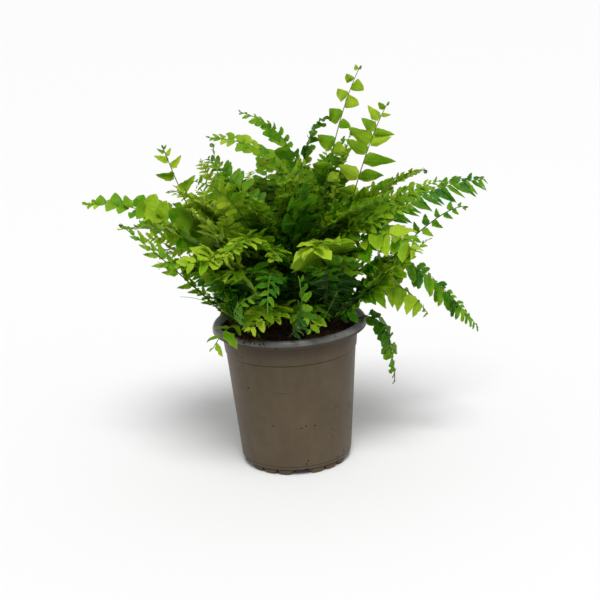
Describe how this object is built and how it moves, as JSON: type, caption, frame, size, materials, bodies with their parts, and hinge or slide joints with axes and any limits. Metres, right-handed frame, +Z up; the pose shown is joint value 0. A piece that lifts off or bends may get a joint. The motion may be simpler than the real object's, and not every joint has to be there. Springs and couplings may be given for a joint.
{
  "type": "potted fern",
  "caption": "Young Boston fern with arching, divided lime to deep green fronds growing from soil in a tapered grey-brown nursery pot with a rolled rim and stubby feet.",
  "frame": {"origin": "on the pot's axis, in the plane that its feet stand on, which is also the middle of the underside of the whole plant's box", "axes": "+Z up along the pot's axis; +X to the right when the pot is seen from its front; +Y away from the viewer, through the plant"},
  "size_m": [0.2684, 0.2077, 0.2656],
  "materials": {
    "pot_plastic": "satin",
    "soil": "matte",
    "leaf_young": "satin",
    "leaf_full": "satin",
    "leaf_deep": "satin"
  },
  "bodies": {
    "root": {"pot": "pot_plastic", "soil": "soil", "frond_tall_fan": "leaf_young", "frond_top_sprig": "leaf_young", "frond_tall_pointed": "leaf_young", "frond_upper_left_back": "leaf_deep", "frond_upper_left": "leaf_full", "frond_upper_mid": "leaf_deep", "frond_left_short": "leaf_full", "frond_left_upright": "leaf_full", "frond_far_left": "leaf_young", "frond_left_sparse": "leaf_full", "frond_far_right": "leaf_deep", "frond_upper_right": "leaf_young", "frond_right_thin": "leaf_full", "frond_right_droop": "leaf_deep", "frond_right_hang": "leaf_young", "frond_rim_right": "leaf_deep", "frond_rim_left": "leaf_young", "frond_front_left_low": "leaf_young", "frond_front_right_low": "leaf_young", "frond_front_lime": "leaf_young", "frond_front_right_lime": "leaf_young", "frond_front_left": "leaf_full", "frond_front_reach": "leaf_young", "frond_back_reach": "leaf_full", "frond_skirt_1": "leaf_deep", "frond_skirt_2": "leaf_full", "frond_skirt_3": "leaf_young", "frond_skirt_4": "leaf_deep", "frond_skirt_5": "leaf_full", "frond_skirt_6": "leaf_young", "frond_low_1": "leaf_full", "frond_low_2": "leaf_young", "frond_low_3": "leaf_deep", "frond_low_4": "leaf_full", "frond_low_5": "leaf_young", "frond_low_6": "leaf_deep", "frond_low_7": "leaf_full", "frond_low_8": "leaf_young", "frond_low_9": "leaf_deep", "frond_middle_1": "leaf_full", "frond_middle_2": "leaf_young", "frond_middle_3": "leaf_full", "frond_middle_4": "leaf_full", "frond_middle_5": "leaf_young", "frond_middle_6": "leaf_full", "frond_middle_7": "leaf_full", "frond_middle_8": "leaf_young", "frond_middle_9": "leaf_full", "frond_middle_10": "leaf_full", "frond_upright_1": "leaf_deep", "frond_upright_2": "leaf_full", "frond_upright_3": "leaf_young", "frond_upright_4": "leaf_deep", "frond_upright_5": "leaf_full", "frond_upright_6": "leaf_young", "frond_upright_7": "leaf_deep"}
  },
  "joints": []
}
